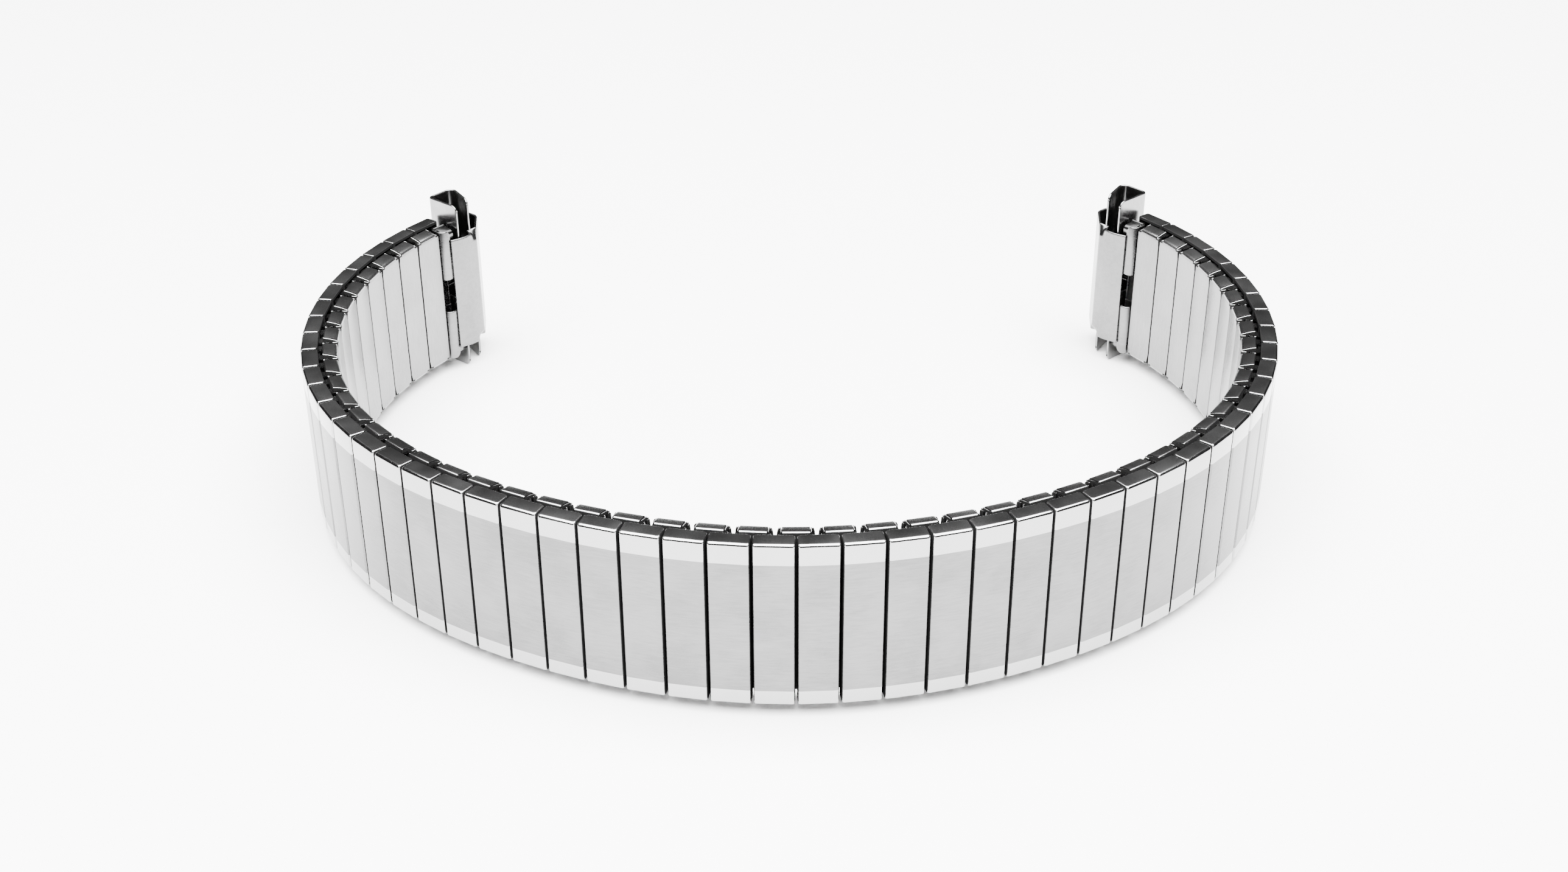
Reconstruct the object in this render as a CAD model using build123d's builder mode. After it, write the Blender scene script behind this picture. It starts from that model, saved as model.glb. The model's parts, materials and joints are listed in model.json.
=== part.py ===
from build123d import *

import math
import os

# Expansion watch band: two staggered rows of spring-loaded links with telescoping straight ends.
#
# The band stands on its side edge, as photographed: +Z runs across the band, from one edge to the
# other, the closed side of the loop faces -Y and the two open ends face +Y. The origin is under
# the middle of the whole, at the height of the lowest point. Millimetres.
#
# How it is built: every outer link and every inner link is a closed sheet-metal sleeve. The rows
# are staggered by half a pitch, and four U-shaped bows a pitch, two at each edge, plug one leg
# into an outer link and the other into the inner link behind it. A leaf spring in every outer link
# presses on the legs in it. Each end has a folded case with a rolled tab, which takes the place of
# half an inner link, and two channels that slide out of the case to suit the width between the
# watch's lugs.

# Overall sizes
band_width = 13.5
link_pitch = 3.0
link_count = 52

# The loop at rest: degrees of turn at nine evenly spaced places from the left end to the right
rest_turns = (5.8, 5.3, 5.7, 3.3, 4.9, 3.35, 5.75, 4.85, 6.6)
end_turn = 4.0

# Rows, measured outwards from the hinge line that runs midway between them
row_gap = 0.4
outer_thickness = 1.375
inner_thickness = 1.225

# Outer link
outer_link_gap = 0.07
outer_face_wall = 0.25
outer_back_wall = 0.2
outer_side_wall = 0.2
outer_cap = 0.25
outer_face_bevel = 0.12
outer_back_bevel = 0.2
outer_end_bevel = 0.14

# Inner link, which is a little narrower than the band
inner_link_gap = 0.5
inner_inset = 0.3
inner_face_wall = 0.25
inner_back_wall = 0.2
inner_side_wall = 0.2
inner_cap = 0.25
inner_face_bevel = 0.18
inner_end_bevel = 0.4

# Bow, the U-shaped clip that joins an outer link to an inner one
bow_length = 0.6
bow_side_clearance = 0.155
bow_sheet = 0.26
bow_web = 0.3
bow_reach = 3.6
bow_wall_clearance = 0.11
bow_cap_clearance = 0.05
web_window = 0.5

# Leaf spring
spring_sheet = 0.12
spring_side_clearance = 0.12
spring_end_clearance = 0.35
spring_leg_clearance = 0.18

# End case, folded from one sheet: wrist plate, slanted nose, outer wall, rear wall and rolled tab
case_sheet = 0.25
case_inset = 1.25
plate_start = 0.45
plate_start_depth = 1.85
plate_middle = 1.0
plate_middle_depth = 2.28
plate_bow_radius = 3.0
nose_corner = 2.45
nose_corner_depth = 2.0
nose_corner_radius = 0.5
nose_reach = 5.05
nose_rise = 0.65
nose_tip_radius = 0.8
case_height = 2.15
case_edge_radius = 0.6
rear_wall_place = 0.2
tab_reach = 1.375
tab_depth = 1.7
tab_plate_gap = 0.17
tab_face_radius = 0.55
tab_window = 3.2
stop_width = 0.9
stop_height = 0.5
stop_rise = 0.12

# Lug channel, which slides out of the case
lug_sheet = 0.22
lug_length = 6.85
lug_fit = 0.11
lug_rear_depth = 1.9
lug_lip_place = 2.35
lug_lip_depth = 1.35
lug_nose_place = 3.45
lug_nose_radius = 0.6
lug_lip_radius = 0.6
upper_reach = 1.75
lower_reach = 1.0

# Heights and depths that follow from the sizes above
overrun = band_width
mid_height = band_width / 2
outer_length = link_pitch - outer_link_gap
inner_length = link_pitch - inner_link_gap
bow_offset = outer_link_gap / 2 + outer_side_wall + bow_side_clearance + bow_length / 2
outer_back = row_gap / 2
outer_face = outer_back + outer_thickness
inner_back = -row_gap / 2
inner_face = inner_back - inner_thickness
outer_leg_low = outer_back + outer_back_wall + bow_wall_clearance
inner_leg_high = inner_back - inner_back_wall - bow_wall_clearance
web_low = inner_inset + inner_cap + bow_cap_clearance
nose_slant = math.atan2(nose_rise + nose_corner_depth, nose_reach - nose_corner)
stop_run = stop_width * math.cos(nose_slant)
stop_lift = stop_width * math.sin(nose_slant)


def rest_turn(hinge):
    """Degrees that the band turns at a hinge, counted from 0 at the left end."""
    if hinge in (0, link_count):
        return end_turn
    place = (hinge - 1) / (link_count - 2) * (len(rest_turns) - 1)
    first = min(int(place), len(rest_turns) - 2)
    share = place - first
    return rest_turns[first] * (1 - share) + rest_turns[first + 1] * share


def headings():
    """The direction of travel, in degrees, of the left case, each link and the right case."""
    turns = [rest_turn(hinge) for hinge in range(link_count + 1)]
    heading = -sum(turns) / 2
    found = [heading]
    for turn in turns:
        heading += turn
        found.append(heading)
    return found


def unit(degrees):
    """A step of one along a direction."""
    return math.cos(math.radians(degrees)), math.sin(math.radians(degrees))


def outward(degrees):
    """A step of one to the outside of the loop, seen along a direction of travel."""
    along = unit(degrees)
    return along[1], -along[0]


def hinges_from_zero(ways):
    """The hinge points from the left end to the right, with the first at zero."""
    x = y = 0.0
    points = [(x, y)]
    for number in range(1, link_count + 1):
        along = unit(ways[number])
        x += link_pitch * along[0]
        y += link_pitch * along[1]
        points.append((x, y))
    return points


def link_corners(points, ways):
    """The corners of every outer link's face, which bound the loop on three sides."""
    corners = []
    for number in range(1, link_count + 1):
        out = outward(ways[number])
        along = unit(ways[number])
        (x0, y0), (x1, y1) = points[number - 1], points[number]
        middle = ((x0 + x1) / 2, (y0 + y1) / 2)
        half = outer_length / 2
        for run, rise in ((half - outer_face_bevel, outer_face), (half, outer_face - outer_face_bevel)):
            for side in (-run, run):
                corners.append(
                    (
                        middle[0] + side * along[0] + rise * out[0],
                        middle[1] + side * along[1] + rise * out[1],
                    )
                )
    return corners


def nose_tops(points, ways):
    """How far each end case's round outer edge reaches, towards +Y."""
    tops = []
    for point, way, side in ((points[0], ways[0], -1), (points[-1], ways[-1], 1)):
        along, out = unit(way), outward(way)
        run = side * (nose_reach - case_edge_radius)
        rise = case_height - case_edge_radius
        tops.append(point[1] + run * along[1] + rise * out[1] + case_edge_radius + case_sheet / 2)
    return tops


def placed_hinges(ways):
    """The hinge points, moved so that the whole is centred on the origin."""
    points = hinges_from_zero(ways)
    corners = link_corners(points, ways)
    left, right = min(x for x, _ in corners), max(x for x, _ in corners)
    low, high = min(y for _, y in corners), max(nose_tops(points, ways))
    middle = ((left + right) / 2, (low + high) / 2)
    return [(x - middle[0], y - middle[1]) for x, y in points]


def place(point, way):
    """Where a piece stands: its x runs against the travel, its y outwards and its z up the band."""
    along = unit(way)
    return Plane(
        origin=(point[0], point[1], lower_reach),
        x_dir=(-along[0], -along[1], 0),
        z_dir=(0, 0, 1),
    ).location


way_of = headings()
hinge_at = placed_hinges(way_of)


# Outer link: a closed sleeve with bevelled edges and a window in its back at each end
with BuildPart() as outer_link:
    with BuildSketch():
        with BuildLine():
            half = outer_length / 2
            Polyline(
                (-half + outer_back_bevel, outer_back),
                (half - outer_back_bevel, outer_back),
                (half, outer_back + outer_back_bevel),
                (half, outer_face - outer_face_bevel),
                (half - outer_face_bevel, outer_face),
                (-half + outer_face_bevel, outer_face),
                (-half, outer_face - outer_face_bevel),
                (-half, outer_back + outer_back_bevel),
                close=True,
            )
        make_face()
    extrude(amount=band_width)
    face_ends = outer_link.faces().sort_by(Axis.Y)[-1].edges().filter_by(Axis.X)
    chamfer(face_ends, outer_end_bevel)
    cavity_depth = outer_thickness - outer_face_wall - outer_back_wall
    cavity_middle = outer_back + outer_back_wall + cavity_depth / 2
    with Locations((0, cavity_middle, mid_height)):
        Box(
            outer_length - 2 * outer_side_wall,
            cavity_depth,
            band_width - 2 * outer_cap,
            mode=Mode.SUBTRACT,
        )
    window_height = web_low + bow_web + web_window - outer_cap
    for middle in (outer_cap + window_height / 2, band_width - outer_cap - window_height / 2):
        with Locations((0, outer_back + outer_back_wall / 2, middle)):
            Box(
                outer_length - 2 * outer_back_bevel,
                outer_back_wall,
                window_height,
                mode=Mode.SUBTRACT,
            )

# Inner link: the same, shorter and narrower, with rounded shoulders towards the wrist
with BuildPart() as inner_link:
    with BuildSketch(Plane.XY.offset(inner_inset)):
        with BuildLine():
            half = inner_length / 2
            Polyline(
                (-half, inner_back),
                (half, inner_back),
                (half, inner_face + inner_face_bevel),
                (half - inner_face_bevel, inner_face),
                (-half + inner_face_bevel, inner_face),
                (-half, inner_face + inner_face_bevel),
                close=True,
            )
        make_face()
    extrude(amount=band_width - 2 * inner_inset)
    shoulders = inner_link.faces().sort_by(Axis.Y)[0].edges().filter_by(Axis.X)
    chamfer(shoulders, inner_end_bevel)
    cavity_depth = inner_thickness - inner_face_wall - inner_back_wall
    cavity_middle = inner_face + inner_face_wall + cavity_depth / 2
    cavity_height = band_width - 2 * (inner_inset + inner_cap)
    with Locations((0, cavity_middle, mid_height)):
        Box(
            inner_length - 2 * inner_side_wall,
            cavity_depth,
            cavity_height,
            mode=Mode.SUBTRACT,
        )
    window_height = bow_cap_clearance + bow_web + web_window
    for middle in (
        inner_inset + inner_cap + window_height / 2,
        band_width - inner_inset - inner_cap - window_height / 2,
    ):
        with Locations((0, inner_back - inner_back_wall / 2, middle)):
            Box(
                inner_length - 2 * inner_side_wall,
                inner_back_wall,
                window_height,
                mode=Mode.SUBTRACT,
            )

# Bow at the lower edge: a U with one leg for each row and its web across the gap between them
with BuildPart() as lower_bow:
    with BuildSketch(Plane.YZ):
        with BuildLine():
            outer_leg_high = outer_leg_low + bow_sheet
            inner_leg_low = inner_leg_high - bow_sheet
            Polyline(
                (inner_leg_low, web_low),
                (outer_leg_high, web_low),
                (outer_leg_high, web_low + bow_reach),
                (outer_leg_low, web_low + bow_reach),
                (outer_leg_low, web_low + bow_web),
                (inner_leg_high, web_low + bow_web),
                (inner_leg_high, web_low + bow_reach),
                (inner_leg_low, web_low + bow_reach),
                close=True,
            )
        make_face()
    extrude(amount=bow_length / 2, both=True)

# Bow at the upper edge, the same piece turned over
with BuildPart() as upper_bow:
    mirror(lower_bow.part, about=Plane.XY.offset(mid_height))


def leaf_spring(seat, crown, height, length):
    """An arched leaf: its ends at depth seat, its middle at depth crown."""
    sheet = math.copysign(spring_sheet, crown - seat)
    with BuildPart() as leaf:
        with BuildSketch(Plane.YZ):
            with BuildLine():
                Polyline(
                    (seat, mid_height - height / 2),
                    (crown - sheet, mid_height),
                    (seat, mid_height + height / 2),
                    (seat + sheet, mid_height + height / 2),
                    (crown, mid_height),
                    (seat + sheet, mid_height - height / 2),
                    close=True,
                )
            make_face()
        extrude(amount=length / 2, both=True)
    return leaf


# Leaf spring of an outer link: its ends press on the legs and its middle on the face wall
outer_spring = leaf_spring(
    outer_leg_low + bow_sheet + spring_leg_clearance,
    outer_face - outer_face_wall,
    band_width - 2 * (web_low + bow_web + spring_end_clearance),
    outer_length - 2 * (outer_side_wall + spring_side_clearance),
)

# End case: one folded sheet, with its x pointing away from the band and zero at the hinge line
with BuildPart() as end_case:
    tab_back = inner_back - inner_back_wall + case_sheet / 2
    tab_end = -plate_start - tab_plate_gap
    with BuildSketch(Plane.XY.offset(inner_inset)):
        with BuildLine():
            FilletPolyline(
                (-plate_start, -plate_start_depth),
                (plate_middle, -plate_middle_depth),
                (nose_corner, -nose_corner_depth),
                (nose_reach, nose_rise),
                (nose_reach, case_height),
                (rear_wall_place, case_height),
                (rear_wall_place, tab_back),
                (-tab_reach, tab_back),
                (-tab_reach, -tab_depth),
                (tab_end, -tab_depth),
                radius=[
                    plate_bow_radius,
                    nose_corner_radius,
                    nose_tip_radius,
                    case_edge_radius,
                    0,
                    0,
                    0,
                    tab_face_radius,
                ],
            )
        trace(line_width=case_sheet)
    extrude(amount=band_width - 2 * inner_inset)
    # The case proper is narrower than the tab
    for low in (-overrun + case_inset, band_width - case_inset):
        with Locations((tab_end + tab_plate_gap / 2, 0, low)):
            Box(
                overrun,
                overrun,
                overrun,
                align=(Align.MIN, Align.CENTER, Align.MIN),
                mode=Mode.SUBTRACT,
            )
    # The window that parts the tab into an upper and a lower curl
    with Locations((tab_end, 0, mid_height)):
        Box(
            overrun,
            overrun,
            tab_window,
            align=(Align.MAX, Align.CENTER, Align.CENTER),
            mode=Mode.SUBTRACT,
        )
    # The notches in the tab's back that let the webs of the last bows through
    notch_height = web_low + bow_web + web_window - inner_inset
    notch_start = bow_offset + bow_length / 2 + bow_wall_clearance
    for middle in (inner_inset + notch_height / 2, band_width - inner_inset - notch_height / 2):
        with Locations((-notch_start, inner_back, middle)):
            Box(
                notch_start,
                2 * case_sheet,
                notch_height,
                align=(Align.MIN, Align.CENTER, Align.CENTER),
                mode=Mode.SUBTRACT,
            )
    # The corners crimped inwards at both edges, which stop the channels
    for foot in (case_inset - stop_rise, band_width - case_inset + stop_rise - stop_height):
        with BuildSketch(Plane.XY.offset(foot)):
            with BuildLine():
                Polyline(
                    (nose_corner - stop_width, -plate_middle_depth),
                    (nose_corner, -nose_corner_depth),
                    (nose_corner + stop_run, stop_lift - nose_corner_depth),
                    close=True,
                )
            make_face()
        extrude(amount=stop_height)

# Lug channel, upper one: open towards the wrist, it slides along the inside of the case
with BuildPart() as upper_lug:
    rear = rear_wall_place + case_sheet / 2 + lug_fit + lug_sheet / 2
    roof = case_height - case_sheet / 2 - lug_fit - lug_sheet / 2
    with BuildSketch(Plane.XY.offset(band_width + upper_reach)):
        with BuildLine():
            FilletPolyline(
                (rear, -lug_rear_depth),
                (rear, roof),
                (lug_nose_place, roof),
                (lug_lip_place, -lug_lip_depth),
                radius=[0, lug_nose_radius],
            )
        trace(line_width=lug_sheet)
    extrude(amount=-lug_length)
    # The free corner of the rear wall is rounded off at the outer end
    free_corner = upper_lug.edges().filter_by(Axis.X).group_by(Axis.Y)[0].sort_by(Axis.Z)[-1]
    fillet(free_corner, lug_lip_radius)

# Lug channel, lower one, the same piece turned over
with BuildPart() as lower_lug:
    turned = upper_lug.part.mirror(Plane.XY.offset(mid_height))
    add(turned.moved(Location((0, 0, upper_reach - lower_reach))))


def solid(piece, location, label):
    """A piece's one solid, put in its place and labelled."""
    put = piece.part.solid().moved(location)
    put.label = label
    return put


def write(name, solids):
    """One node: its solids, under the node's name."""
    node = Compound(label=name, children=solids)
    export_step(node, f"parts/{name}.step")


os.makedirs("parts", exist_ok=True)

for number in range(1, link_count + 1):
    (x0, y0), (x1, y1) = hinge_at[number - 1], hinge_at[number]
    link_place = place(((x0 + x1) / 2, (y0 + y1) / 2), way_of[number])
    solids = [
        solid(outer_link, link_place, "outer_link"),
        solid(outer_spring, link_place, "outer_spring"),
    ]
    if number < link_count:
        between = (way_of[number] + way_of[number + 1]) / 2
        hinge_place = place(hinge_at[number], between)
        solids.append(solid(inner_link, hinge_place, "inner_link"))
        for side, run in (("left", bow_offset), ("right", -bow_offset)):
            bow_place = hinge_place * Location((run, 0, 0))
            solids.append(solid(upper_bow, bow_place, f"upper_{side}_bow"))
            solids.append(solid(lower_bow, bow_place, f"lower_{side}_bow"))
    write(f"link_{number:02d}", solids)

with BuildPart() as right_case:
    mirror(end_case.part, about=Plane.YZ)
with BuildPart() as right_upper_lug:
    mirror(upper_lug.part, about=Plane.YZ)
with BuildPart() as right_lower_lug:
    mirror(lower_lug.part, about=Plane.YZ)

left_place = place(hinge_at[0], way_of[0])
right_place = place(hinge_at[-1], way_of[-1])
ends = {
    "left": (left_place, -bow_offset, end_case, upper_lug, lower_lug),
    "right": (right_place, bow_offset, right_case, right_upper_lug, right_lower_lug),
}
for side, (end_place, run, case, upper, lower) in ends.items():
    bow_place = end_place * Location((run, 0, 0))
    write(f"{side}_end_case", [solid(case, end_place, "end_case")])
    write(f"{side}_upper_lug_channel", [solid(upper, end_place, "lug_channel")])
    write(f"{side}_lower_lug_channel", [solid(lower, end_place, "lug_channel")])
    bows = [solid(upper_bow, bow_place, "upper_bow"), solid(lower_bow, bow_place, "lower_bow")]
    write(f"{side}_end_bows", bows)
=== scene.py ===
import json
import math

import bmesh
import bpy
from mathutils import Matrix, Vector


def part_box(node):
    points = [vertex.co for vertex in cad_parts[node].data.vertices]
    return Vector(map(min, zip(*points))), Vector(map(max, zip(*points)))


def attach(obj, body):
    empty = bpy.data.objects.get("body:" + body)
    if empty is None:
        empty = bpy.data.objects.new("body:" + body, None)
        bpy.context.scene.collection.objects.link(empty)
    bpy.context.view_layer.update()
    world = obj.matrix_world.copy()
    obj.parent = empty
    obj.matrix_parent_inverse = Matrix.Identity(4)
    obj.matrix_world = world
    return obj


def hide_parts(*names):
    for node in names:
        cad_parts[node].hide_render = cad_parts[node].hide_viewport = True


# Looks of the expansion watch band: detailed links and end pieces, steel finishes, light, camera.
# Lengths are in millimetres up to the moment a mesh is put in its place.

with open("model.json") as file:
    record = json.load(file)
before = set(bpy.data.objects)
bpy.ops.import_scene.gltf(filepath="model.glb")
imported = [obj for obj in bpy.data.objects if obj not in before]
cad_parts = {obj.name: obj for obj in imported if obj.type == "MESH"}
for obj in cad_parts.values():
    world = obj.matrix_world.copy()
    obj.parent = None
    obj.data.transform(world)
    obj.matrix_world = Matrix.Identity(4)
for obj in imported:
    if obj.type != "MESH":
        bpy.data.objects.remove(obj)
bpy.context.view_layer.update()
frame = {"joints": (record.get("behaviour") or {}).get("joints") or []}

MM = 0.001

# Overall sizes, the same as the frame's. An end case turns on from its last link by END_TURN degrees
BAND_WIDTH = 13.5
LINK_COUNT = 52
END_TURN = 4.0

# Outer link: a sleeve, with y measured outwards from the hinge line, and polished near both ends
OUTER_HALF = 1.45
OUTER_BACK = 0.2
OUTER_FACE = 1.575
OUTER_FACE_WALL = 0.25
OUTER_BACK_WALL = 0.2
OUTER_SIDE_WALL = 0.2
OUTER_CAP = 0.25
FACE_EDGE_RADIUS = 0.17
BACK_EDGE_RADIUS = 0.2
FACE_END_RADIUS = 0.26
SIDE_END_RADIUS = 0.1
BACK_END_RADIUS = 0.05
UPPER_POLISH = 1.65
LOWER_POLISH = 1.25
WINDOW_END = 1.4
WINDOW_OVERLAP = 0.25

# Inner link: a body with a wide wrist face, domed ends and side sheets whose wrist edges are curled out
INNER_INSET = 0.03
INNER_HALF = 0.965
INNER_BACK = -0.2
INNER_FACE = -1.425
INNER_WALL = 0.2
CORE_EDGE_RADIUS = 0.01
FLANGE_HALF = 1.37
FLANGE_THICKNESS = 0.22
FLANGE_TAPER = ((0.53, 1.28), (0.8, 1.31), (1.1, 1.37))
FLANGE_RADIUS = 0.08
FLANGE_END_RADIUS = 0.03
FLANGE_BACK_RADIUS = 0.04
DOME_FALL = 0.22
DOME_RADIUS = 0.3
DOME_BACK_RADIUS = 0.2
DOME_EDGE_RADIUS = 0.03
DOME_DEPTH = 1.0
DOME_STEP_BACK = 0.01
CURL_SHEET = 0.09
CURL_DROP = 0.035
CURL_FALL = 0.34
CURL_FALL_POWER = 1.3
CURL_PATH = ((1.01, -0.23), (1.03, -1.37), (1.215, -1.37), (1.215, -0.98))
CURL_RADII = (0.085, 0.085)

# Bow: two legs and a web at each edge, on one side of the hinge from BOW_START to BOW_END
BOW_START = 0.42
BOW_END = 1.02
BOW_WEB_END = 1.2
BOW_SHEET = 0.26
BOW_WEB = 0.3
BOW_REACH = 3.6
BOW_WALL_GAP = 0.11
BOW_EDGE_RADIUS = 0.06
WEB_LOW = 0.4

# End case: its folded sheet in plan, with x pointing away from the band
CASE_SHEET = 0.22
CASE_INSET = 1.25
CASE_PATH = (
    (-0.45, -1.85),
    (1.0, -2.28),
    (2.45, -2.0),
    (5.05, 0.65),
    (5.05, 2.15),
    (0.2, 2.15),
    (0.2, -0.25),
)
CASE_RADII = (3.0, 0.45, 0.8, 0.6, 0.35)

# Crimps, which press both ends of the case's nose corner inwards
CRIMP_CORNER = 2
CRIMP_WIDTH = 0.85
CRIMP_HEIGHT = 0.9
CRIMP_DEPTH = 0.85
CRIMP_POWER = 1.4
CRIMP_ROWS = 8
CRIMP_DROP_SHARE = 0.12
CRIMP_WAY = (-0.35, 0.93)

# Rolled tab of the end case, and the limits in x and y of the domed ends that close it
TAB_SHEET = 0.2
TAB_PATH = ((0.2, -0.26), (-1.28, -0.26), (-1.28, -1.7), (-0.45, -1.7))
TAB_RADII = (0.3, 0.5)
TAB_INSET = 0.3
TAB_WINDOW = 3.2
TAB_CORNER_RADIUS = 0.5
TAB_DOME = ((-0.95, 0.1), (-1.6, -0.36))

# Lug channel, which slides in the end case
LUG_SHEET = 0.2
LUG_LENGTH = 6.85
LUG_PATH = ((0.545, -1.9), (0.545, 1.805), (3.45, 1.805), (2.35, -1.35))
LUG_RADII = (0.4, 0.6)
LUG_CORNER_RADIUS = 0.6
UPPER_REACH = 1.75
LOWER_REACH = 1.0

# Cross-section of a sheet: at a free end of its path, each pair gives a distance in half thicknesses
# and the share of the thickness there. Its other edges are half rounds, in steps of ROUND_STEP degrees
FREE_END = ((0.0, 0.3), (0.25, 0.75), (0.8, 0.97))
ROUND_STEP = 30

# Meshes: an edge sharper than CREASE degrees shows, and points closer than WELD are joined
CREASE = 35
WELD = 0.0001

# How squarely a face has to look up, sideways, at the wrist or backwards to take that side's material
LEVEL_LOOK = 0.8
CAP_LOOK = 0.96
WALL_LOOK = 0.97
BACK_LOOK = 0.2
CORNER_SIDE_LOOK = 0.3
CORNER_CAP_LOOK = 0.2
WRIST_LOOK = 0.3
DOME_WALL_LOOK = 0.2
DOME_CAP_LOOK = 0.3

# Camera, fitted to the photo's perspective: its place in millimetres, turns in degrees, clips in metres
CAMERA_PLACE = (-2.62, -142.16, 86.81)
CAMERA_TURN = -0.82
CAMERA_PITCH = 29.68
CAMERA_ROLL = -0.16
LENS = 45.22
SENSOR = 36.0
CLIP_START = 0.001
CLIP_END = 10.0

# Steel: the grain's scale is per millimetre, and the drift and the clouds' scale are per metre
GRAIN = {"Scale": 6.0, "Detail": 6.0, "Roughness": 0.65}
GRAIN_DRIFT = 50.0
CLOUDS = {"Scale": 260.0, "Detail": 2.0, "Roughness": 0.5}
NOISE_LOW = 0.8
NOISE_HIGH = 1.2
BUMP_DISTANCE = 0.00002
SPECULAR = 0.5

# Light and floor, in metres and watts
SOFTBOX_SIZE = (0.9, 0.7)
SOFTBOX_PLACE = (0.0, -0.15, 0.55)
SOFTBOX_POWER = 56.0
ROOM_GREY = 0.05
FLOOR_RADIUS = 3.0
FLOOR_SIDES = 96
FLOOR_GREY = 0.97
FLOOR_ROUGH = 0.9


# Materials

def material(name):
    """A new node material and its shader."""
    made = bpy.data.materials.new(name)
    made.use_nodes = True
    return made, made.node_tree.nodes["Principled BSDF"]


def add_node(made, kind, **values):
    """A node with its settings and unlinked sockets filled in."""
    node = made.node_tree.nodes.new(kind)
    for key, value in values.items():
        if key in node.inputs:
            node.inputs[key].default_value = value
        else:
            setattr(node, key, value)
    return node


def steel(name, grey, rough, rough_change, stretch=(1.0, 1.0, 1.0), bump=0.0, mottle=0.05, metal=1.0):
    """Steel with a fine grain, drawn out by stretch, and slow changes from piece to piece."""
    made, shader = material(name)
    join = made.node_tree.links.new
    shader.inputs["Metallic"].default_value = metal
    shader.inputs["Specular IOR Level"].default_value = SPECULAR * metal
    place = add_node(made, "ShaderNodeTexCoord")
    along = add_node(made, "ShaderNodeMapping", Scale=stretch)
    join(place.outputs["UV"], along.inputs["Vector"])
    # Copies of a piece share their texture coordinates, so the place along the band shifts the grain
    drift = add_node(made, "ShaderNodeVectorMath", operation="DOT_PRODUCT")
    join(place.outputs["Object"], drift.inputs[0])
    drift.inputs[1].default_value = (GRAIN_DRIFT, GRAIN_DRIFT, 0.0)
    lift = add_node(made, "ShaderNodeCombineXYZ")
    join(drift.outputs["Value"], lift.inputs["Z"])
    moved = add_node(made, "ShaderNodeVectorMath", operation="ADD")
    join(along.outputs["Vector"], moved.inputs[0])
    join(lift.outputs["Vector"], moved.inputs[1])
    grain = add_node(made, "ShaderNodeTexNoise", **GRAIN)
    join(moved.outputs["Vector"], grain.inputs["Vector"])
    cloud = add_node(made, "ShaderNodeTexNoise", **CLOUDS)
    join(place.outputs["Object"], cloud.inputs["Vector"])
    both = add_node(made, "ShaderNodeMath", operation="ADD")
    join(grain.outputs["Fac"], both.inputs[0])
    join(cloud.outputs["Fac"], both.inputs[1])
    spread = add_node(made, "ShaderNodeMapRange")
    spread.inputs["From Min"].default_value = NOISE_LOW
    spread.inputs["From Max"].default_value = NOISE_HIGH
    join(both.outputs["Value"], spread.inputs["Value"])
    blur = add_node(made, "ShaderNodeMapRange")
    blur.inputs["To Min"].default_value = rough - rough_change
    blur.inputs["To Max"].default_value = rough + rough_change
    join(spread.outputs["Result"], blur.inputs["Value"])
    join(blur.outputs["Result"], shader.inputs["Roughness"])
    tint = add_node(made, "ShaderNodeMix", data_type="RGBA")
    dark = grey * (1 - mottle)
    light = grey * (1 + mottle)
    colours = [socket for socket in tint.inputs if socket.type == "RGBA"]
    colours[0].default_value = (dark, dark, dark, 1.0)
    colours[1].default_value = (light, light, light, 1.0)
    join(spread.outputs["Result"], tint.inputs[0])
    result = [socket for socket in tint.outputs if socket.type == "RGBA"][0]
    join(result, shader.inputs["Base Color"])
    if bump:
        relief = add_node(made, "ShaderNodeBump", Strength=bump, Distance=BUMP_DISTANCE)
        join(grain.outputs["Fac"], relief.inputs["Height"])
        join(relief.outputs["Normal"], shader.inputs["Normal"])
    return made


BRUSHED = steel(
    "brushed_steel",
    grey=0.145,
    rough=0.31,
    rough_change=0.05,
    stretch=(0.12, 1.3, 1.0),
    bump=0.3,
    mottle=0.14,
)
POLISHED = steel("polished_steel", grey=0.34, rough=0.13, rough_change=0.04, mottle=0.02)
CAP = steel(
    "cap_steel",
    grey=0.32,
    rough=0.24,
    rough_change=0.03,
    stretch=(3.0, 3.0, 1.0),
    bump=0.05,
    mottle=0.1,
)
# Near-black matte, painted shade: it goes on the walls in the gaps between links and rows, on cut cavities
# and on the inner links' hidden sides
SHADE = steel("painted_shade_steel", grey=0.012, rough=0.7, rough_change=0.05, mottle=0.1, metal=0.0)
# Darker steel on the inner sides of the case and lug channels and on the tab's closed ends: painted shade
# in the hollows
HOLLOW_SHADE = steel(
    "painted_shade_channel_steel",
    grey=0.13,
    rough=0.22,
    rough_change=0.04,
    stretch=(5.0, 0.5, 1.0),
    bump=0.06,
    mottle=0.1,
)
INNER_SATIN = steel(
    "inner_satin_steel",
    grey=0.19,
    rough=0.3,
    rough_change=0.05,
    stretch=(1.5, 0.15, 1.0),
    bump=0.15,
    mottle=0.12,
)
# Spring steel of the bows, its tone set darker as painted shade of the row gap they sit in
SHADED_SPRING = steel(
    "spring_steel_painted_shade",
    grey=0.14,
    rough=0.25,
    rough_change=0.05,
    stretch=(1.0, 4.0, 1.0),
    bump=0.1,
    mottle=0.08,
)
CASE_SATIN = steel(
    "case_satin_steel",
    grey=0.15,
    rough=0.28,
    rough_change=0.05,
    stretch=(0.5, 0.5, 1.0),
    bump=0.15,
    mottle=0.12,
)
MIRROR = steel(
    "channel_steel",
    grey=0.24,
    rough=0.22,
    rough_change=0.05,
    stretch=(1.5, 0.3, 1.0),
    bump=0.1,
    mottle=0.15,
)


# Places along the band, read from the frame's hinges

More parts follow.
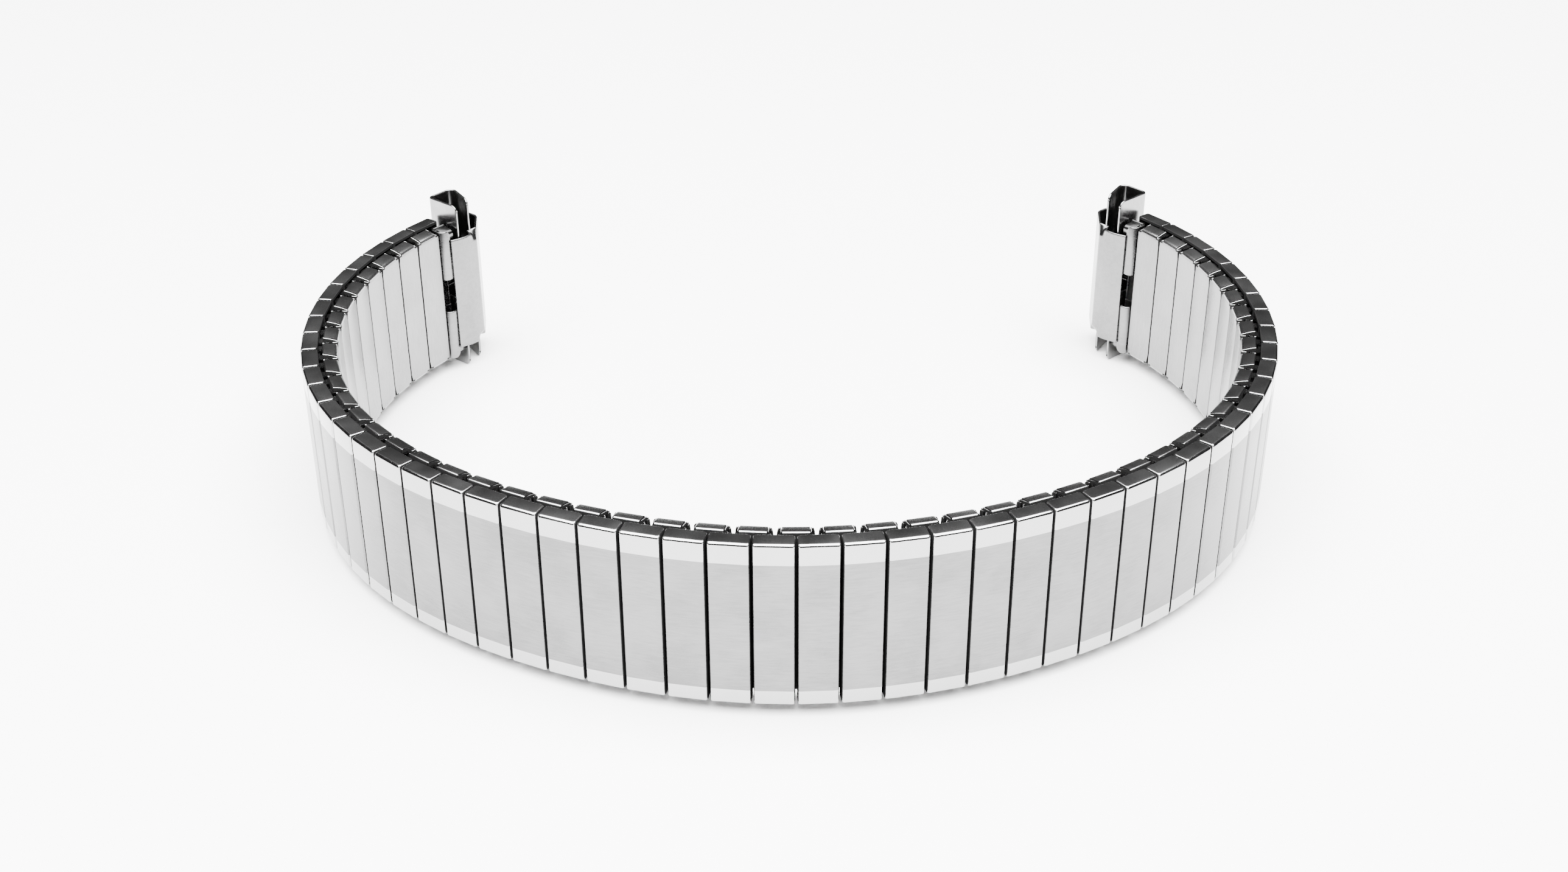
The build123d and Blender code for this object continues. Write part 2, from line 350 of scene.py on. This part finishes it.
def hinge_points():
    """The hinge points from the left end to the right, in millimetres."""
    joints = {joint["name"]: joint for joint in frame["joints"]}
    names = [f"bend_{number:02d}" for number in range(1, LINK_COUNT)]
    names = ["bend_left_end"] + names + ["bend_right_end"]
    return [Vector(joints[name]["pos_m"]) / MM for name in names]


HINGES = hinge_points()

# Height of the band's lower edge
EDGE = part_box("link_26")[0].z / MM


def stand(point, along):
    """A piece's place: its x against the travel, its y outwards and its z up the band."""
    x = -along.normalized()
    z = Vector((0, 0, 1))
    y = z.cross(x)
    turn = Matrix((x, y, z)).transposed().to_4x4()
    spot = Matrix.Translation(Vector((point.x, point.y, EDGE)))
    return Matrix.Scale(MM, 4) @ spot @ turn


def link_stand(number):
    """The place of an outer link, midway between its hinges."""
    before, after = HINGES[number - 1], HINGES[number]
    return stand((before + after) / 2, after - before)


def hinge_stand(number):
    """The place of an inner link, on a hinge and halfway between its outer links' directions."""
    before = (HINGES[number] - HINGES[number - 1]).normalized()
    after = (HINGES[number + 1] - HINGES[number]).normalized()
    return stand(HINGES[number], before + after)


def end_stand(side):
    """The place of an end's pieces. The right end's are the left end's, mirrored."""
    if side == "left":
        along = Matrix.Rotation(math.radians(-END_TURN), 3, "Z") @ (HINGES[1] - HINGES[0])
        return stand(HINGES[0], along)
    along = Matrix.Rotation(math.radians(END_TURN), 3, "Z") @ (HINGES[-1] - HINGES[-2])
    return stand(HINGES[-1], along) @ Matrix.Diagonal((-1, 1, 1, 1))


# Outlines in plan

def drawn_in(radius, distance):
    """How far a round edge has drawn in at a distance from its end."""
    if distance >= radius:
        return 0.0
    return radius - math.sqrt(max(radius**2 - (radius - distance) ** 2, 0.0))


def arc_distances(radius, angles):
    """How far from an edge its rounding is at each angle."""
    return [radius * (1 - math.cos(math.radians(angle))) for angle in angles]


def rounded_box(half, low, high, low_radius, high_radius, steps=5):
    """A rectangle with rounded corners, from the low left one round."""
    corners = (
        (-half + low_radius, low + low_radius, low_radius, 180),
        (half - low_radius, low + low_radius, low_radius, 270),
        (half - high_radius, high - high_radius, high_radius, 0),
        (-half + high_radius, high - high_radius, high_radius, 90),
    )
    outline = []
    for x, y, radius, start in corners:
        for step in range(steps + 1):
            angle = math.radians(start + 90 * step / steps)
            outline.append((x + radius * math.cos(angle), y + radius * math.sin(angle)))
    return outline


def rounded_path(points, radii, spacing=0.3, arc_step=15, end_radius=0.0):
    """An open path with rounded corners and close points where its free ends are to be rounded."""
    points = [Vector(point) for point in points]
    marks = [points[0]]
    for before, corner, after, radius in zip(points, points[1:], points[2:], radii):
        inward = (before - corner).normalized()
        onward = (after - corner).normalized()
        opening = inward.angle(onward)
        run = radius / math.tan(opening / 2)
        centre = corner + (inward + onward).normalized() * radius / math.sin(opening / 2)
        start = corner + inward * run - centre
        finish = corner + onward * run - centre
        turn = math.atan2(start.x * finish.y - start.y * finish.x, start.dot(finish))
        count = max(2, math.ceil(abs(math.degrees(turn)) / arc_step))
        for step in range(count + 1):
            marks.append(centre + Matrix.Rotation(turn * step / count, 2) @ start)
    marks.append(points[-1])
    if end_radius:
        near = arc_distances(end_radius, range(15, 91, 15))
        head, tail = marks[1] - marks[0], marks[-2] - marks[-1]
        first = [marks[0] + head.normalized() * run for run in near if run < head.length]
        last = [marks[-1] + tail.normalized() * run for run in near if run < tail.length]
        marks = marks[:1] + first + marks[1:-1] + last[::-1] + marks[-1:]
    path = [marks[0]]
    for before, after in zip(marks, marks[1:]):
        count = max(1, math.ceil((after - before).length / spacing))
        path += [before.lerp(after, (step + 1) / count) for step in range(count)]
    return path


# Meshes

def unwrap(made, faces):
    """Texture coordinates in millimetres: round and along the piece on its sides, flat on its ends."""
    uv = made.loops.layers.uv.verify()
    for face in faces:
        level = abs(face.normal.z) > LEVEL_LOOK
        for loop in face.loops:
            x, y, z = loop.vert.co
            loop[uv].uv = (x, y) if level else (x + y, z)


def skin(made, rings, material_of):
    """A closed skin through rings of points; material_of picks each face's material."""
    rows = [[made.verts.new(point) for point in ring] for ring in rings]
    faces = []
    for below, above in zip(rows, rows[1:]):
        for here in range(len(below)):
            there = (here + 1) % len(below)
            faces.append(made.faces.new((below[here], below[there], above[there], above[here])))
    faces.append(made.faces.new(list(reversed(rows[0]))))
    faces.append(made.faces.new(rows[-1]))
    for face in faces:
        face.normal_update()
        face.smooth = True
        face.material_index = material_of(face.calc_center_median(), face.normal)
    unwrap(made, faces)
    return faces


def stations_along(path, thickness):
    """A sheet's stations: for each its point, direction, run and share of the thickness."""
    half = thickness / 2
    middle = []
    run = 0.0
    for before, point, after in zip(path, path[1:], path[2:]):
        run += (point - before).length
        middle.append((point, after - before, run, 1.0))
    head, tail = path[1] - path[0], path[-1] - path[-2]
    total = run + tail.length
    first = []
    last = []
    for distance, share in FREE_END:
        first.append((path[0].lerp(path[1], distance * half / head.length), head, 0.0, share))
        last.append((path[-1].lerp(path[-2], distance * half / tail.length), tail, total, share))
    return first + middle + last[::-1]


def cross_section(low, high, half, rows):
    """A sheet's outline across its path: for each point its side, from 1 to -1, and its height."""
    outline = []
    for near, far, start, side in ((high - half, low + half, 0, -1), (low + half, high - half, 180, 1)):
        for angle in range(start, start + 181, ROUND_STEP):
            turn = math.radians(angle)
            outline.append((math.cos(turn), near + half * math.sin(turn)))
        outline += [(side, near + side * row) for row in rows]
        outline += [(side, far - side * row) for row in reversed(rows)]
    return outline


def sheet(made, path, thickness, limits, indices=(0, 0, 0), rows=(), bend=None):
    """A folded sheet that stands on edge along its path.

    limits gives its lower and upper end at a run along the path, and indices the materials of its
    rim, left side and right side. rows are extra levels near both ends, which bend may move.
    """
    half = thickness / 2
    stations = stations_along(path, thickness)
    total = stations[-1][2]
    rings = []
    for point, way, run, share in stations:
        way = way.normalized()
        normal = Vector((way.y, -way.x))
        low, high = limits(run, total)
        ring = []
        for side, z in cross_section(low, high, half, rows):
            spot = point + normal * side * half * share
            ring.append(bend(spot, run, z) if bend else (spot.x, spot.y, z))
        rings.append(ring)
    rim, left, right = indices
    faces = skin(made, rings, lambda centre, normal: rim)
    columns = len(rings[0])
    upper_edge = 180 // ROUND_STEP
    for place, face in enumerate(faces[:columns * (len(rings) - 1)]):
        column = place % columns
        # The rows at the lower end count as rim
        if upper_edge <= column <= upper_edge + len(rows):
            face.material_index = left
        elif column >= columns - 1 - len(rows):
            face.material_index = right


def fall(distance, depth):
    """How far a domed end has come down at a distance from the wrist face."""
    share = 1 - min(distance / depth, 1.0)
    wrist_edge = drawn_in(DOME_RADIUS, distance)
    back_edge = drawn_in(DOME_BACK_RADIUS, depth - distance)
    return DOME_FALL * share + wrist_edge + back_edge


def domed_end(made, span, wrist, back, high, indices):
    """The upper end of a box, which comes down and rounds over towards the wrist.

    indices gives the materials of its wrist face, its cap and its other walls.
    """
    face, cap, wall = indices
    depth = back - wrist
    low = high - DOME_DEPTH
    start, finish = span
    distances = arc_distances(DOME_RADIUS, range(0, 91, 15))
    distances += [depth - distance for distance in arc_distances(DOME_BACK_RADIUS, range(90, -1, -15))]
    columns = arc_distances(DOME_EDGE_RADIUS, range(0, 91, 18))
    places = [(start + inset, inset) for inset in columns]
    places += [(finish - inset, inset) for inset in reversed(columns)]
    rings = []
    for x, inset in places:
        edge = drawn_in(DOME_EDGE_RADIUS, inset)
        ring = [(x, wrist, low)]
        for distance in distances:
            ring.append((x, wrist + distance, high - fall(distance, depth) - edge))
        ring.append((x, back, low))
        rings.append(ring)

    def material_of(centre, normal):
        if abs(normal.x) > DOME_WALL_LOOK:
            return wall
        if abs(normal.z) > DOME_CAP_LOOK:
            return cap
        return face if centre.y < (wrist + back) / 2 else wall

    skin(made, rings, material_of)


def clamped(value, low, high):
    """The value, kept between its limits."""
    return min(max(value, low), high)


def prism(made, outline, stations, radius, material_of):
    """An upright block with rounded edges at both ends; each station gives a height and a half width."""
    levels = arc_distances(radius, range(0, 91, 30))
    (low, low_half), (high, high_half) = stations[0], stations[-1]
    spots = [(low + level, low_half, drawn_in(radius, level)) for level in levels]
    spots += [(z, half, 0.0) for z, half in stations[1:-1]]
    spots += [(high - level, high_half, drawn_in(radius, level)) for level in reversed(levels)]
    least, most = min(y for x, y in outline), max(y for x, y in outline)
    rings = []
    for z, half, inset in spots:
        reach = half - inset
        front, back = least + inset, most - inset
        rings.append([(clamped(x, -reach, reach), clamped(y, front, back), z) for x, y in outline])
    skin(made, rings, material_of)


def finish_mesh(made, name, materials):
    """The mesh, cleaned, with its creases marked and its materials named."""
    bmesh.ops.remove_doubles(made, verts=made.verts, dist=WELD)
    bmesh.ops.dissolve_degenerate(made, edges=made.edges, dist=WELD)
    bmesh.ops.recalc_face_normals(made, faces=made.faces)
    mesh = bpy.data.meshes.new(name)
    made.to_mesh(mesh)
    made.free()
    for one in materials:
        mesh.materials.append(one)
    mesh.set_sharp_from_angle(angle=math.radians(CREASE))
    return mesh


def add_box(made, span):
    """A box between its limits in x, y and z."""
    sizes = [high - low for low, high in span]
    middle = [(low + high) / 2 for low, high in span]
    bmesh.ops.create_cube(made, size=1, matrix=Matrix.Translation(middle) @ Matrix.Diagonal((*sizes, 1)))


def box_mesh(name, spans):
    """Boxes between pairs of limits, for cutting."""
    made = bmesh.new()
    for span in spans:
        add_box(made, span)
    return finish_mesh(made, name, [SHADE])


def carved(mesh, spans):
    """The mesh less the cutting boxes, with walls in painted shade where they cut."""
    body = bpy.data.objects.new("body", mesh)
    cutter = bpy.data.objects.new("cutter", box_mesh("cutter", spans))
    for piece in (body, cutter):
        bpy.context.scene.collection.objects.link(piece)
    cut = body.modifiers.new("cut", "BOOLEAN")
    cut.operation = "DIFFERENCE"
    cut.solver = "EXACT"
    cut.material_mode = "TRANSFER"
    cut.use_self = True
    cut.object = cutter
    seen = bpy.context.evaluated_depsgraph_get()
    result = bpy.data.meshes.new_from_object(body.evaluated_get(seen))
    bpy.data.objects.remove(body)
    bpy.data.objects.remove(cutter)
    result.set_sharp_from_angle(angle=math.radians(CREASE))
    return result


# The pieces

def outer_master():
    """An outer link's sleeve: polished ends, brushed middle, dark caps, and side and back walls in painted
    shade.
    """
    levels = arc_distances(FACE_END_RADIUS, range(0, 91, 10))
    levels += arc_distances(SIDE_END_RADIUS, (30, 60, 90))
    levels = sorted(levels)
    spots = [(level, level) for level in levels]
    spots += [(LOWER_POLISH, BAND_WIDTH), (BAND_WIDTH - UPPER_POLISH, BAND_WIDTH)]
    spots += [(BAND_WIDTH - level, level) for level in reversed(levels)]
    rings = []
    for z, level in spots:
        face = OUTER_FACE - drawn_in(FACE_END_RADIUS, level)
        back = OUTER_BACK + drawn_in(BACK_END_RADIUS, level)
        half = OUTER_HALF - drawn_in(SIDE_END_RADIUS, level)
        outline = rounded_box(half, back, face, BACK_EDGE_RADIUS, FACE_EDGE_RADIUS)
        rings.append([(x, y, z) for x, y in outline])
    brushed, polished, cap, wall = range(4)

    def material_of(centre, normal):
        if abs(normal.z) > CAP_LOOK:
            return cap
        # Side walls, which face the gaps between links, and back walls, which face the row gap, take
        # painted shade
        if abs(normal.x) > WALL_LOOK or normal.y < -BACK_LOOK:
            return wall
        if abs(normal.x) > CORNER_SIDE_LOOK and abs(normal.z) > CORNER_CAP_LOOK:
            return cap
        return brushed if LOWER_POLISH < centre.z < BAND_WIDTH - UPPER_POLISH else polished

    made = bmesh.new()
    skin(made, rings, material_of)
    mesh = finish_mesh(made, "outer_link", [BRUSHED, POLISHED, CAP, SHADE])
    inside = OUTER_HALF - OUTER_SIDE_WALL
    cavity = (OUTER_BACK + OUTER_BACK_WALL, OUTER_FACE - OUTER_FACE_WALL)
    window = (OUTER_BACK - OUTER_BACK_WALL, cavity[0] + WINDOW_OVERLAP)
    cuts = [((-inside, inside), cavity, (OUTER_CAP, BAND_WIDTH - OUTER_CAP))]
    for ends in ((OUTER_CAP, WINDOW_END), (BAND_WIDTH - WINDOW_END, BAND_WIDTH - OUTER_CAP)):
        cuts.append(((-inside, inside), window, ends))
    return carved(mesh, cuts)


def both_ends(made, build):
    """What build makes at the upper end, and the same turned over for the lower end."""
    half = bmesh.new()
    build(half)
    turned = bpy.data.meshes.new("half")
    half.to_mesh(turned)
    half.free()
    made.from_mesh(turned)
    turned.transform(Matrix.Translation((0, 0, BAND_WIDTH)) @ Matrix.Diagonal((1, 1, -1, 1)))
    turned.flip_normals()
    made.from_mesh(turned)
    bpy.data.meshes.remove(turned)


def curl(made, points, low, high, indices):
    """A side sheet whose end falls with the dome and whose wrist edge is curled round."""
    depth = INNER_BACK - INNER_FACE

    def limits(run, total):
        return low, high - CURL_DROP - CURL_FALL * min(run / depth, 1.0) ** CURL_FALL_POWER

    path = rounded_path(points, CURL_RADII, spacing=0.2, arc_step=20)
    sheet(made, path, CURL_SHEET, limits, indices)


def inner_master():
    """An inner link: its body and wrist face, domed ends and the curled ends of its side sheets."""
    low, high = INNER_INSET, BAND_WIDTH - INNER_INSET
    flange_back = INNER_FACE + FLANGE_THICKNESS
    satin, cap, wall, rim = range(4)

    # wall is painted shade: the flange's sides and ends, the core, the domes' side and back walls and the
    # curled sheets' sides
    def flange_material(centre, normal):
        return satin if normal.y < -WRIST_LOOK and abs(normal.z) < LEVEL_LOOK else wall

    def core_material(centre, normal):
        return wall

    def upper_end(half):
        wrist = INNER_FACE + DOME_STEP_BACK
        domed_end(half, (-INNER_HALF, INNER_HALF), wrist, INNER_BACK, high, (satin, cap, wall))
        for side in (-1, 1):
            # The curled sheets' sides are painted shade, and only their rims are polished steel
            curl(half, [(side * x, y) for x, y in CURL_PATH], high - DOME_DEPTH, high, (rim, wall, wall))

    made = bmesh.new()
    flange = rounded_box(FLANGE_HALF, INNER_FACE, flange_back, FLANGE_RADIUS, FLANGE_BACK_RADIUS)
    stations = [(low + inset, half) for inset, half in FLANGE_TAPER]
    stations += [(high - inset, half) for inset, half in reversed(FLANGE_TAPER)]
    prism(made, flange, stations, FLANGE_END_RADIUS, flange_material)
    core = rounded_box(
        INNER_HALF, flange_back - INNER_WALL / 2, INNER_BACK, CORE_EDGE_RADIUS, CORE_EDGE_RADIUS, steps=1
    )
    stations = ((low + DOME_DEPTH - INNER_WALL, INNER_HALF), (high - DOME_DEPTH + INNER_WALL, INNER_HALF))
    prism(made, core, stations, CORE_EDGE_RADIUS, core_material)
    both_ends(made, upper_end)
    return finish_mesh(made, "inner_link", [INNER_SATIN, CAP, SHADE, POLISHED])


def bow_mesh(name, places):
    """Bows at both edges: one leg in each row and the web, which is wider, across the gap."""
    made = bmesh.new()
    outer_low = OUTER_BACK + OUTER_BACK_WALL + BOW_WALL_GAP
    inner_high = INNER_BACK - INNER_WALL - BOW_WALL_GAP
    inner_leg = (inner_high - BOW_SHEET, inner_high)
    outer_leg = (outer_low, outer_low + BOW_SHEET)
    web_ends = (WEB_LOW, WEB_LOW + BOW_WEB)
    leg_ends = (WEB_LOW + BOW_WEB, WEB_LOW + BOW_REACH)
    for start, finish, web_finish in places:
        for lower in (True, False):
            for end, depth, (low, high) in (
                (web_finish, (inner_leg[0], outer_leg[1]), web_ends),
                (finish, inner_leg, leg_ends),
                (finish, outer_leg, leg_ends),
            ):
                if not lower:
                    low, high = BAND_WIDTH - high, BAND_WIDTH - low
                add_box(made, (sorted((start, end)), depth, (low, high)))
    bmesh.ops.recalc_face_normals(made, faces=made.faces)
    # Darker spring steel on the faces as painted shade, and brighter polished steel on the bevelled rims as
    # a painted highlight
    steels = [SHADED_SPRING, POLISHED]
    rim = steels.index(POLISHED)
    bmesh.ops.bevel(
        made, geom=made.edges[:], offset=BOW_EDGE_RADIUS, segments=2, affect="EDGES", material=rim
    )
    for face in made.faces:
        face.smooth = True
    unwrap(made, made.faces)
    return finish_mesh(made, name, steels)


def tab_limits(low, high, outer_end):
    """Half a tab's lower and upper end along its path. Its free corner is round at the outer end."""

    def limits(run, total):
        drawn = drawn_in(TAB_CORNER_RADIUS, total - run)
        if outer_end == "high":
            return low, high - drawn
        return low + drawn, high

    return limits


def case_master():
    """An end case: its folded sheet with crimped nose corners, and the tab's two halves and closed ends."""
    low, high = CASE_INSET, BAND_WIDTH - CASE_INSET
    path = rounded_path(CASE_PATH, CASE_RADII, spacing=0.14, arc_step=10)
    nose = Vector(CASE_PATH[CRIMP_CORNER])
    nearest = min(range(len(path)), key=lambda place: (path[place] - nose).length)
    nose_run = sum((after - before).length for before, after in zip(path[:nearest], path[1:nearest + 1]))
    way = Vector(CRIMP_WAY)

    def crimp(spot, run, z):
        """The spot, pressed inwards near an end of the nose corner."""
        side = max(0.0, 1 - abs(run - nose_run) / CRIMP_WIDTH)
        depth = max(0.0, 1 - min(z - low, high - z) / CRIMP_HEIGHT)
        push = CRIMP_DEPTH * side * depth**CRIMP_POWER
        spot = spot + way * push
        drop = CRIMP_DROP_SHARE * push
        return (spot.x, spot.y, z + drop if z < BAND_WIDTH / 2 else z - drop)

    made = bmesh.new()
    # hollow is the darker steel of the fold's inner side and the tab's closed ends: painted shade
    satin, hollow = range(2)
    rows = tuple(step * CRIMP_HEIGHT / (CRIMP_ROWS - 1) for step in range(1, CRIMP_ROWS + 1))
    sheet(made, path, CASE_SHEET, lambda run, total: (low, high), (satin, hollow, satin), rows, crimp)
    tab = rounded_path(TAB_PATH, TAB_RADII, spacing=0.2, arc_step=10, end_radius=TAB_CORNER_RADIUS)
    half_window = TAB_WINDOW / 2
    middle = BAND_WIDTH / 2
    bottom, top = TAB_INSET, BAND_WIDTH - TAB_INSET
    sheet(made, tab, TAB_SHEET, tab_limits(middle + half_window, top, "high"), (satin, satin, satin))
    sheet(made, tab, TAB_SHEET, tab_limits(bottom, middle - half_window, "low"), (satin, satin, satin))
    span, (wrist, back) = TAB_DOME

    def upper_end(half):
        domed_end(half, span, wrist, back, top, (hollow, hollow, hollow))

    both_ends(made, upper_end)
    return finish_mesh(made, "end_case", [CASE_SATIN, HOLLOW_SHADE])


def lug_master(upper):
    """A lug channel, with both free corners of its outer end rounded off."""
    path = rounded_path(LUG_PATH, LUG_RADII, spacing=0.2, arc_step=10, end_radius=LUG_CORNER_RADIUS)
    if upper:
        high = BAND_WIDTH + UPPER_REACH
        low = high - LUG_LENGTH
    else:
        low = -LOWER_REACH
        high = low + LUG_LENGTH

    def limits(run, total):
        drawn = drawn_in(LUG_CORNER_RADIUS, run) + drawn_in(LUG_CORNER_RADIUS, total - run)
        return (low, high - drawn) if upper else (low + drawn, high)

    made = bmesh.new()
    # hollow is the darker steel of the channel's inner side: painted shade
    mirror, hollow = range(2)
    sheet(made, path, LUG_SHEET, limits, (mirror, mirror, hollow))
    return finish_mesh(made, "lug_channel", [MIRROR, HOLLOW_SHADE])


def put(master, name, place, body):
    """A copy of a master mesh in its place, riding on its body."""
    mesh = master.copy()
    mesh.transform(place)
    if place.determinant() < 0:
        mesh.flip_normals()
    piece = bpy.data.objects.new(name, mesh)
    bpy.context.scene.collection.objects.link(piece)
    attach(piece, body)
    return piece


def dress_links():
    """Every outer link, and the inner link and bows at each hinge between two of them."""
    outer = outer_master()
    inner = inner_master()
    bows = bow_mesh("bows", [(side * BOW_START, side * BOW_END, side * BOW_WEB_END) for side in (-1, 1)])
    for number in range(1, LINK_COUNT + 1):
        node = f"link_{number:02d}"
        piece = put(outer, f"outer_link_{number:02d}", link_stand(number), node)
        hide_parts(node)
        if number < LINK_COUNT:
            place = hinge_stand(number)
            put(inner, f"inner_link_{number:02d}", place, node)
            put(bows, f"bows_{number:02d}", place, node)


def dress_ends():
    """The end cases, the bows that join them on, and the lug channels."""
    case = case_master()
    bows = bow_mesh("end_bows", [(-BOW_START, -BOW_END, -BOW_END)])
    lugs = {"upper": lug_master(True), "lower": lug_master(False)}
    for side in ("left", "right"):
        place = end_stand(side)
        piece = put(case, f"{side}_case", place, f"{side}_end")
        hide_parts(f"{side}_end_case")
        piece = put(bows, f"{side}_bows", place, f"{side}_end")
        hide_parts(f"{side}_end_bows")
        for level, master in lugs.items():
            piece = put(master, f"{side}_{level}_channel", place, f"{side}_{level}_lug")
            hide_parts(f"{side}_{level}_lug_channel")


# Camera, light and floor

def camera():
    """The camera, where the photo's stood."""
    made = bpy.data.cameras.new("camera")
    made.lens = LENS
    made.sensor_width = SENSOR
    made.clip_start = CLIP_START
    made.clip_end = CLIP_END
    eye = bpy.data.objects.new("camera", made)
    bpy.context.scene.collection.objects.link(eye)
    turn = Matrix.Rotation(math.radians(CAMERA_TURN), 4, "Z")
    pitch = Matrix.Rotation(math.radians(90 - CAMERA_PITCH), 4, "X")
    roll = Matrix.Rotation(math.radians(CAMERA_ROLL), 4, "Z")
    eye.matrix_world = Matrix.Translation(Vector(CAMERA_PLACE) * MM) @ turn @ pitch @ roll
    bpy.context.scene.camera = eye


def floor():
    """A plain pale floor."""
    made = bmesh.new()
    bmesh.ops.create_circle(made, cap_ends=True, radius=FLOOR_RADIUS, segments=FLOOR_SIDES)
    mesh = bpy.data.meshes.new("floor")
    made.to_mesh(mesh)
    made.free()
    paint, shader = material("floor")
    shader.inputs["Base Color"].default_value = (FLOOR_GREY, FLOOR_GREY, FLOOR_GREY, 1)
    shader.inputs["Roughness"].default_value = FLOOR_ROUGH
    mesh.materials.append(paint)
    piece = bpy.data.objects.new("floor", mesh)
    bpy.context.scene.collection.objects.link(piece)


def softbox():
    """One wide soft light overhead, a little towards the front."""
    made = bpy.data.lights.new("softbox", "AREA")
    made.shape = "RECTANGLE"
    made.size, made.size_y = SOFTBOX_SIZE
    made.energy = SOFTBOX_POWER
    lamp = bpy.data.objects.new("softbox", made)
    bpy.context.scene.collection.objects.link(lamp)
    lamp.location = SOFTBOX_PLACE


def room():
    """A dim studio round the part."""
    world = bpy.data.worlds.new("studio")
    world.use_nodes = True
    bpy.context.scene.world = world
    world.node_tree.nodes["Background"].inputs["Color"].default_value = (ROOM_GREY, ROOM_GREY, ROOM_GREY, 1)


dress_links()
dress_ends()
camera()
floor()
softbox()
room()
